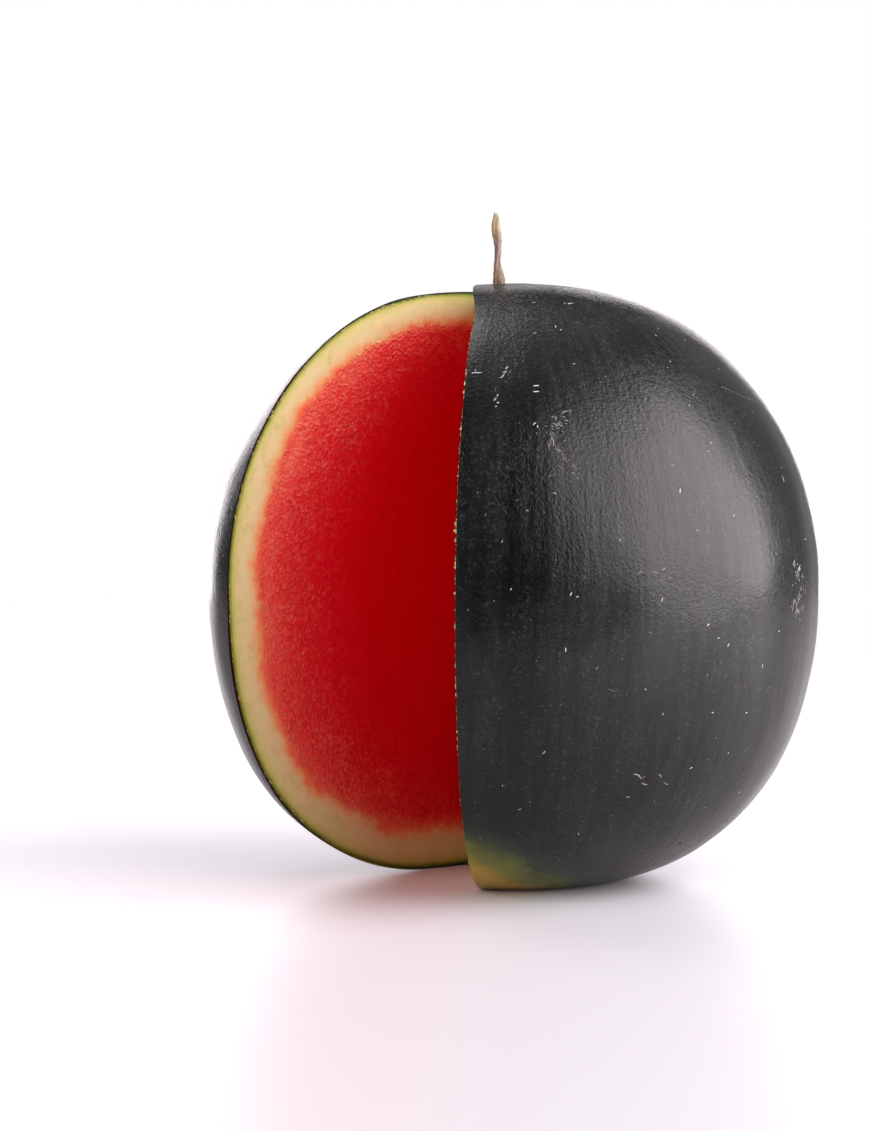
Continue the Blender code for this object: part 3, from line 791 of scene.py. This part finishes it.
# Rim flecks. Crumbs and slivers of rind and skin that the knife tore along the rims of both cuts.
# They still hang on the rind, dark green to pale cream, and stand out a little from the cut faces.
FLECK_STATIONS = 5
FLECK_SIDES = 4
FRONT_FLECKS = 430
REAR_FLECKS = 220
FLECK_SEED = 83
PLACED_FLECKS = (   # polar angle in degrees, length, width, stand and depth in mm, paleness
    (78.6, 1.9, 0.7, 0.80, 0.45, 0.52), (79.6, 1.5, 0.6, 1.10, 0.35, 0.58),
    (80.9, 1.8, 0.5, 0.70, 0.35, 0.50), (65.0, 1.2, 0.4, 0.50, 0.25, 0.80),
    (59.0, 1.8, 0.4, 0.45, 0.25, 0.70), (84.5, 1.5, 0.5, 0.60, 0.30, 0.66),
    (88.0, 1.1, 0.5, 0.65, 0.30, 0.80), (92.5, 1.4, 0.4, 0.50, 0.25, 0.70),
    (72.0, 1.3, 0.4, 0.45, 0.25, 0.74),
)
FRONT_FLECK_RANGE = (0.10, 0.75, 0.42)   # shallowest, deepest and furthest out, in mm
REAR_FLECK_RANGE = (0.55, 1.30, 0.12)


def flecks_on_rim(cut, rows):
    """Closed slivers along a cut's rim. Each is a spindle that follows the rim at a depth under the
    skin, with a diamond section that stands out from the face. The width and the stand follow a
    half ellipse along it."""
    azimuth, out = cut
    along, section, swollen = spindle(FLECK_STATIONS, FLECK_SIDES)
    polar = np.radians(rows[:, 0])[:, None, None]
    length, width, stand, depth = (rows[:, column, None, None] / 1000 for column in (1, 2, 3, 4))
    reach = shell_reach(ray_directions(polar, np.full(polar.shape, azimuth)), NO_INSET)
    turned = polar + along * length / 2 / reach + 0 * section
    directions = ray_directions(turned, np.full(turned.shape, azimuth))
    under = depth + width / 2 * swollen * np.cos(section)
    points = strayed(HUB + (shell_reach(directions, NO_INSET) - under)[..., None] * directions)
    lift = swollen * (stand * np.clip(np.sin(section), 0, 1) - FLECK_ROOT * np.clip(-np.sin(section), 0, 1))
    return points + lift[..., None] * out


def fleck_rows(rng, count, shallowest, deepest, furthest):
    """Seeded slivers all along a rim, most of them small."""
    return np.stack([
        rng.uniform(8, 146, count), 0.8 * rng.lognormal(0, 0.5, count), rng.uniform(0.14, 0.40, count),
        furthest * rng.uniform(0.15, 1.0, count) ** 1.6, rng.uniform(shallowest, deepest, count),
        rng.uniform(0.05, 1.0, count)], axis=1)


def fleck_material():
    """Torn rind, drying at its edges: skin green through yellow-green to cream."""
    g = Graph(bpy.data.materials.new("torn_rind"))
    grain = g.noise(g.place(), 0.0005)
    colour = g.ramp(g.swing(grain, 0.4, g.stored("pale")), FLECK_STOPS)
    return g.finish(Base_Color=colour, Roughness=0.55, Normal=g.relief((grain, 0.00004)))


FLECK_ROOT = 0.00006
FLECK_STOPS = (
    (0.00, tint(20, 28, 16)), (0.25, tint(70, 84, 34)), (0.50, tint(150, 152, 68)),
    (0.75, tint(206, 196, 124)), (1.00, tint(234, 228, 196)),
)

fleck_draw = np.random.default_rng(FLECK_SEED)
front_rows = fleck_rows(fleck_draw, FRONT_FLECKS, *FRONT_FLECK_RANGE)
front_rows = np.concatenate([np.array(PLACED_FLECKS), front_rows])
rear_rows = fleck_rows(fleck_draw, REAR_FLECKS, *REAR_FLECK_RANGE)
fleck_grids = np.concatenate([flecks_on_rim(FRONT_CUT, front_rows), flecks_on_rim(REAR_CUT, rear_rows)])
fleck_paleness = np.concatenate([front_rows[:, 5], rear_rows[:, 5]])[:, None, None]
fleck_mesh = mesh_from_loops("rim_flecks", fleck_grids, True, pale=fleck_paleness)
new_piece("rim_flecks", fleck_mesh, fleck_material(), "rind")

# Flesh. The ripe, seedless inside of the fruit, granular and paler under the rind and smooth and
# deep red at the heart. The knife left it bare on both cut faces, where it has sunk a little.
FLESH_INSET = (0.0119, 0.0094, 0.0144)
FLESH_SINK = 0.0004
FLESH_SINK_AT_RIM = 0.00005
FLESH_FINE_SHARE = 0.40
FLESH_FINE_COLUMNS = 58
FLESH_CORE_COLUMNS = 34
FLESH_SINKS_OVER = 0.10   # as a share of the way to the hub
GRAIN_WAVE = (0.0027, 41, 40)   # wavelength, seed, number of waves
GRAIN_HEIGHT = 0.00006
FLESH_WAVES = ((0.016, 42, 0.00010), (0.006, 43, 0.00005))


def flesh_relief(points, shares):
    """Grains that calm toward the heart and slow waves, on a face that sinks smoothly from its rim."""
    inward = eased(shares / FLESH_SINKS_OVER)[None, :]
    heart = np.clip((shares - 0.25) / 0.35, 0, 1)[None, :]
    grains = wave_noise(points, *GRAIN_WAVE) * GRAIN_HEIGHT * (1 - 0.6 * heart)
    rough = (grains + rolling(points, FLESH_WAVES)) * inward
    return rough - FLESH_SINK_AT_RIM - (FLESH_SINK - FLESH_SINK_AT_RIM) * inward


def flesh_points():
    """Each cut face from the rind to the hub, and the hidden shell between them."""
    polar = np.linspace(0, np.pi, FACE_ROWS)[:, None]
    shares = np.concatenate([
        np.linspace(0, FLESH_FINE_SHARE, FLESH_FINE_COLUMNS),
        np.linspace(FLESH_FINE_SHARE, 1, FLESH_CORE_COLUMNS)[1:]])
    rear, front = (face_points(cut, FLESH_INSET, None, shares, polar, flesh_relief)
                   for cut in (REAR_CUT, FRONT_CUT))
    outside = between_cuts(FLESH_INSET, polar, HIDDEN_COLUMNS)[:, 1:-1]
    return np.concatenate([rear[:, ::-1], outside[:, ::-1], front], axis=1)


def flesh_material():
    """Wet and granular: the rind's last colours at its rim, then scarlet made of small juicy grains,
    the paler of them partly painted sparkle, then a smooth crimson with faint fibres toward the heart."""
    g = Graph(bpy.data.materials.new("ripe_flesh"))
    at = g.place()
    share = g.stored("rind_share")
    off_axis = g.vector("LENGTH", g.scaled(at, 1, 1, 0))
    deep = g.total(g.stored("depth"), g.swing(g.noise(at, 0.018, 4, 0.65), 0.018),
                   g.fade(off_axis, 0.062, 0.012, 0.0, 0.024))
    colour = g.mix(g.fade(share, 1.12, 1.42), rind_colour(g, at), g.ramp(deep, FLESH_STOPS, FLESH_SPAN))
    granular = g.product(g.fade(share, 0.92, 1.18), g.fade(deep, 0.056, 0.020))

    grain = g.cells(g.bent(at, 0.0020, 0.0010), 0.00125)
    shade = g.red(grain["Color"])
    clumps = g.fade(g.noise(at, 0.0060), 0.36, 0.62, 0.35, 1.0)
    # Pale pink grains are partly the flesh's own tone and partly painted sparkle; dark grains are its own
    # tone.
    for low, high, strength, tone in ((0.45, 1.0, 0.41, GRAIN_PINK_AND_SPARKLE), (0.40, 0.0, 0.36, GRAIN_DARK)):
        tinged = g.product(g.fade(shade, low, high), clumps, granular, strength)
        colour = g.mix(tinged, colour, tone)
    fibres = g.noise(g.scaled(at, 1, 1, 0.22), 0.0034, 4, 0.65)
    colour = g.mix(g.fade(fibres, 0.42, 0.68, 0.0, 0.16), colour, GRAIN_PINK_AND_SPARKLE, "SOFT_LIGHT")

    rough = g.product(grain["Distance"], g.fade(granular, 0.0, 1.0, 0.10, 1.0))
    relief = g.relief((g.noise(at, 0.0048), 0.00030), (rough, 0.00062),
                      (g.noise(at, 0.0009, 2, 0.6), 0.00005))
    wet = g.fade(granular, 0.0, 1.0, 0.36, 0.31)
    return g.finish(Base_Color=colour, Roughness=wet, IOR=1.38, Normal=relief)


FLESH_SPAN = 0.10
FLESH_STOPS = (
    (0.013, tint(251, 118, 92)), (0.0165, tint(249, 94, 78)), (0.0215, tint(244, 64, 61)),
    (0.030, tint(236, 39, 47)), (0.042, tint(229, 15, 36)), (0.060, tint(229, 4, 25)),
    (0.085, tint(233, 2, 17)),
)
# The pale grain colour is partly a painted sparkle.
GRAIN_PINK_AND_SPARKLE = tint(255, 134, 108)
GRAIN_DARK = tint(186, 20, 24)

flesh_mesh = store_depth(mesh_from_loops("flesh", flesh_points(), False))
new_piece("flesh", flesh_mesh, flesh_material(), "flesh", "fruit")

# Stem. The short dry stalk that the fruit hung from, ridged and twisted as it shrank, flared and
# pitted at its foot and broken off at its tip. It grew from the crown, in the middle of the dish.
STEM_LENGTH = 0.0262
STEM_SET_DOWN = 0.0009
STEM_FOOT = float(upper_height(math.hypot(*STEM_AT), NO_INSET)) - STEM_SET_DOWN
STEM_ROWS = 150
STEM_COLUMNS = 56
STEM_STATIONS = np.array((   # share of the length, lean to the side and back, radius
    (0.00, 0.0000, 0.0000, 0.0021),
    (0.06, 0.0000, 0.0001, 0.0021),
    (0.12, -0.0001, 0.0001, 0.0020),
    (0.20, -0.0003, 0.0002, 0.0017),
    (0.36, -0.0005, 0.0004, 0.0011),
    (0.48, -0.0003, 0.0004, 0.0012),
    (0.60, -0.0005, 0.0001, 0.0013),
    (0.73, -0.0008, -0.0003, 0.0016),
    (0.84, -0.0011, -0.0004, 0.0015),
    (0.95, -0.0010, -0.0003, 0.0011),
    (1.00, -0.0009, -0.0002, 0.0008),
))
STEM_TWIST = 1.7
STEM_RIDGES = ((5, 0.085, 0.0), (3, 0.060, 1.1), (11, 0.030, 0.4))   # count, height, phase
STEM_WRINKLES = ((0.0016, 51, 0.035), (0.0007, 52, 0.018))
STEM_TIP_RINGS = ((0.86, 0.00012), (0.55, 0.00010), (0.25, -0.00008), (0.0, -0.00012))   # share, lift


def through_stations(stations, column, at):
    """A natural cubic spline through one column of the stations: its second derivatives solve one
    linear system and are nothing at both ends."""
    x, y = stations[:, 0], stations[:, column]
    gap = np.diff(x)
    count = len(x)
    system = np.eye(count)
    target = np.zeros(count)
    inner = np.arange(1, count - 1)
    system[inner, inner - 1] = gap[:-1]
    system[inner, inner] = 2 * (gap[:-1] + gap[1:])
    system[inner, inner + 1] = gap[1:]
    target[inner] = 6 * (np.diff(y)[1:] / gap[1:] - np.diff(y)[:-1] / gap[:-1])
    bend = np.linalg.solve(system, target)
    span = np.clip(np.searchsorted(x, at, side="right") - 1, 0, count - 2)
    left, right, width = at - x[span], x[span + 1] - at, gap[span]
    return ((bend[span] * right ** 3 + bend[span + 1] * left ** 3) / (6 * width)
            + (y[span] / width - bend[span] * width / 6) * right
            + (y[span + 1] / width - bend[span + 1] * width / 6) * left)


def stem_points():
    """Rings round a leaning line, from a closed foot to a broken tip. Ridges run up the stem with a
    slow twist, lobes flare the foot, and noise shrinks and pits it."""
    rows = np.linspace(0, 1, STEM_ROWS)
    lean_x, lean_y, radius = (
        through_stations(STEM_STATIONS, column, rows)[:, None] for column in (1, 2, 3))
    turn = np.linspace(0, 2 * np.pi, STEM_COLUMNS, endpoint=False)[None, :]
    share = rows[:, None]
    ridges = sum(height * np.cos(count * (turn - STEM_TWIST * share) + phase)
                 for count, height, phase in STEM_RIDGES)
    foot = np.exp(-(share / 0.13) ** 2)
    lobes = foot * 0.10 * np.cos(5 * turn + 0.8)
    height = share * STEM_LENGTH
    line = np.stack(np.broadcast_arrays(np.cos(turn) * 0.0015, np.sin(turn) * 0.0015, height * 0.35), -1)
    shrink = rolling(line, STEM_WRINKLES)
    pits = -np.clip(wave_noise(line * (1, 1, 2.2), 0.0011, 53) - 0.9, 0, 1) * (0.05 + 0.16 * foot)
    around = radius * (1 + ridges * (1 - 0.5 * foot) + lobes + shrink + pits)
    broken = np.cos(turn - 2.4) * 0.0006 * np.clip((share - 0.93) / 0.07, 0, 1)
    x = STEM_AT[0] + lean_x + around * np.cos(turn)
    y = STEM_AT[1] + lean_y + around * np.sin(turn)
    z = STEM_FOOT + height + broken + 0 * around
    wall = np.stack([x, y, z], axis=-1)
    foot_middle = np.repeat(wall[:1].mean(axis=1, keepdims=True), STEM_COLUMNS, axis=1)
    tip_middle = np.repeat(wall[-1:].mean(axis=1, keepdims=True), STEM_COLUMNS, axis=1)
    tip_rings = [tip_middle + (wall[-1:] - tip_middle) * part + (0, 0, lift)
                 for part, lift in STEM_TIP_RINGS]
    return np.concatenate([foot_middle, wall, *tip_rings])


def stem_material():
    """Dry straw: grey and gold at the tip, pinkish grey-brown in the middle and tan at the pitted
    foot, in long stripes, with dark streaks along the grooves."""
    g = Graph(bpy.data.materials.new("dry_stem"))
    at = g.place()
    up = g.add("SeparateXYZ", {"Vector": at}).outputs["Z"]
    share = g.math("DIVIDE", g.math("SUBTRACT", up, STEM_FOOT), STEM_LENGTH)
    along = g.scaled(at, 1, 1, 0.14)
    fibres = g.noise(along, 0.0006, 4, 0.65)
    stripes = g.noise(along, 0.0015, 2, 0.5)
    blotches = g.noise(at, 0.0014)
    colour = g.ramp(g.total(share, g.swing(blotches, 0.18)), STEM_STOPS)
    golden = g.product(g.fade(stripes, 0.50, 0.60), g.fade(share, 0.55, 0.85, 0.25, 0.9))
    pits = g.product(g.fade(g.cells(at, 0.0009)["Distance"], 0.34, 0.18), g.fade(share, 0.26, 0.08), 0.75)
    for factor, tone in (
            (golden, STEM_GOLD), (g.fade(stripes, 0.44, 0.34, 0.0, 0.55), STEM_GREY),
            (g.fade(fibres, 0.50, 0.36, 0.0, 0.70), STEM_STREAK), (pits, STEM_PIT),
            (g.fade(blotches, 0.58, 0.72, 0.0, 0.45), STEM_PALE)):
        colour = g.mix(factor, colour, tone)
    relief = g.relief((fibres, 0.00022), (g.noise(at, 0.0005, 3, 0.7), 0.00010))
    return g.finish(Base_Color=colour, Roughness=0.85, Normal=relief)


STEM_STOPS = (
    (0.00, tint(122, 98, 78)), (0.10, tint(160, 134, 104)), (0.20, tint(144, 120, 102)),
    (0.42, tint(164, 142, 130)), (0.62, tint(160, 142, 126)), (0.78, tint(168, 152, 122)),
    (1.00, tint(186, 168, 130)),
)
STEM_GOLD = tint(200, 174, 114)
STEM_GREY = tint(126, 118, 112)
STEM_STREAK = tint(82, 64, 56)
STEM_PIT = tint(78, 46, 34)
STEM_PALE = tint(204, 192, 172)

new_piece("stem", mesh_from_loops("stem", stem_points(), True), stem_material(), "stem", "stem")

# Floor. A plain pale board under the fruit, very slightly glossy. It fades into the white studio
# well outside the fruit's shadow. As the fruit mirrors it and is lit by it, it carries painted
# shade, darker on the left than on the right. It is part of the studio and not of the fruit.
FLOOR_RADIUS = 1.3
FLOOR_SIDES = 96
FLOOR_LEVEL = -0.00005
FLOOR_WHITE = tint(240, 239, 240)   # as the camera sees it
FLOOR_LEFT_SHADED_FOR_FRUIT = tint(188, 186, 188)   # painted shade: darker as the fruit mirrors it and is lit by it, left and right
FLOOR_RIGHT_SHADED_FOR_FRUIT = tint(228, 226, 228)
FLOOR_TURNS = (-0.10, 0.22)   # across, from the left colour to the right one
FLOOR_FADES_FROM = 0.34
FLOOR_FADES_TO = 1.20

floor_turn = np.linspace(0, 2 * np.pi, FLOOR_SIDES, endpoint=False)
floor_rim = np.stack([FLOOR_RADIUS * np.cos(floor_turn), FLOOR_RADIUS * np.sin(floor_turn),
                      np.full(FLOOR_SIDES, FLOOR_LEVEL)], axis=-1)
floor_mesh = bpy.data.meshes.new("floor")
floor_mesh.from_pydata(floor_rim, [], [list(range(FLOOR_SIDES))])
board = Graph(bpy.data.materials.new("pale_board"))
board_at = board.place()
seen_by_camera = board.add("LightPath", {}).outputs["Is Camera Ray"]
faded = board.fade(board.vector("LENGTH", board_at), FLOOR_FADES_TO, FLOOR_FADES_FROM)
across = board.add("SeparateXYZ", {"Vector": board_at}).outputs["X"]
# The fruit sees the floor darkened by painted shade, most on the left.
shaded_for_fruit = board.mix(board.fade(across, *FLOOR_TURNS), FLOOR_LEFT_SHADED_FOR_FRUIT, FLOOR_RIGHT_SHADED_FOR_FRUIT)
floor_mesh.materials.append(board.finish(
    Base_Color=board.mix(seen_by_camera, shaded_for_fruit, FLOOR_WHITE), Roughness=0.35,
    Alpha=board.math("MAXIMUM", faded, board.math("SUBTRACT", 1.0, seen_by_camera))))
floor = bpy.data.objects.new("floor", floor_mesh)
bpy.context.scene.collection.objects.link(floor)

# Light. Seven soft panels in a dim white studio: one at the right and one beside it that weakens
# toward the left, a fill that reaches into the notch, one high at the left back, a dim ceiling,
# a white wall behind and a dim one at the right back.
LIGHT_TINT = (1.0, 0.925, 0.985)
PANELS = (   # name, azimuth from the camera to the right, distance, height of centre, width, height,
             # radiance at the edges of smaller and larger azimuth, and at the same two edges the
             # share of the height over which it fades at the foot
    ("right_panel", 82, 1.20, 0.96, 1.25, 1.92, 4.9, 4.9, 0.02, 0.02),
    ("front_right_panel", 34.5, 1.20, 0.96, 0.90, 1.92, 1.9, 4.6, 0.30, 0.02),
    ("left_fill", -64, 1.60, 0.75, 1.00, 1.30, 3.1, 3.1, 0.01, 0.01),
    ("left_overhead_panel", -145, 1.05, 1.70, 0.72, 0.95, 2.5, 2.5, 0.01, 0.01),
    ("ceiling", 180, 0.25, 2.00, 1.90, 2.30, 0.40, 0.40, 0.01, 0.01),
    ("back_wall", -173.5, 2.60, 0.10, 1.94, 1.60, 2.2, 3.0, 0.01, 0.01),
    ("right_wall", 137, 2.20, 0.70, 2.20, 2.20, 0.22, 0.22, 0.01, 0.01),
)
SURROUND_FOR_FRUIT = 0.12
PANELS_AIM_AT = 0.1   # the level that a panel faces when it stands higher than it is far
WHITE = (1.0, 1.0, 1.0, 1.0)


def add_panel(name, azimuth, distance, level, width, height, first_radiance, last_radiance,
              first_foot, last_foot):
    """An area light that faces the fruit. Its power is its mean radiance times pi times its area. It
    runs evenly from one radiance at its edge of smaller azimuth to the other, fades in smoothly over
    its foot, whose share of the height runs evenly too, and the camera doesn't see it."""
    turn = math.radians(azimuth)
    centre = Vector((distance * math.sin(turn), -distance * math.cos(turn), level))
    aim = Vector((0.0, 0.0, level if level < distance else PANELS_AIM_AT))
    mean = (first_radiance + last_radiance) / 2
    lamp = bpy.data.lights.new(name, "AREA")
    lamp.shape = "RECTANGLE"
    lamp.size = width
    lamp.size_y = height
    lamp.energy = mean * math.pi * width * height
    lamp.color = LIGHT_TINT
    g = Graph(lamp, "Emission")
    spans = g.add("SeparateXYZ", {"Vector": g.add("NewGeometry", {}).outputs["Parametric"]}).outputs
    radiance, foot = (
        g.add("MapRange", {"Value": spans["X"], "To Min": first, "To Max": last}).outputs["Result"]
        for first, last in ((first_radiance / mean, last_radiance / mean), (first_foot, last_foot)))
    g.finish(Strength=g.product(radiance, g.fade(spans["Y"], 0.0, foot)))
    panel = bpy.data.objects.new(name, lamp)
    panel.location = centre
    panel.rotation_euler = (aim - centre).to_track_quat("-Z", "Y").to_euler()
    panel.visible_camera = False
    bpy.context.scene.collection.objects.link(panel)


for panel_values in PANELS:
    add_panel(*panel_values)

world = bpy.data.worlds.new("white_studio")
sky = Graph(world, "Background")
sky.finish(Color=WHITE)
dim = sky.add("Background", {"Color": WHITE, "Strength": SURROUND_FOR_FRUIT})
either = sky.add("MixShader", {"Fac": sky.add("LightPath", {}).outputs["Is Camera Ray"],
                               1: dim.outputs["Background"], 2: sky.shader.outputs["Background"]})
sky.put(sky.tree.nodes["World Output"].inputs["Surface"], either.outputs["Shader"])
bpy.context.scene.world = world
bpy.context.scene.view_settings.view_transform = "Standard"

# Camera. A long lens, level with the upper half of the fruit and four degrees above it.
PHOTO_HEIGHT = 1131
FOCAL_PIXELS = 4101.4
SENSOR_LONG_SIDE = 36.0
CAMERA_AT = (-0.02955, -1.49635, 0.21875)
CAMERA_TILT = math.radians(86)

lens = bpy.data.cameras.new("camera")
lens.sensor_width = SENSOR_LONG_SIDE
lens.lens = FOCAL_PIXELS / PHOTO_HEIGHT * SENSOR_LONG_SIDE
lens.clip_start = 0.05
camera = bpy.data.objects.new("camera", lens)
camera.location = CAMERA_AT
camera.rotation_euler = (CAMERA_TILT, 0.0, 0.0)
bpy.context.scene.collection.objects.link(camera)
bpy.context.scene.camera = camera
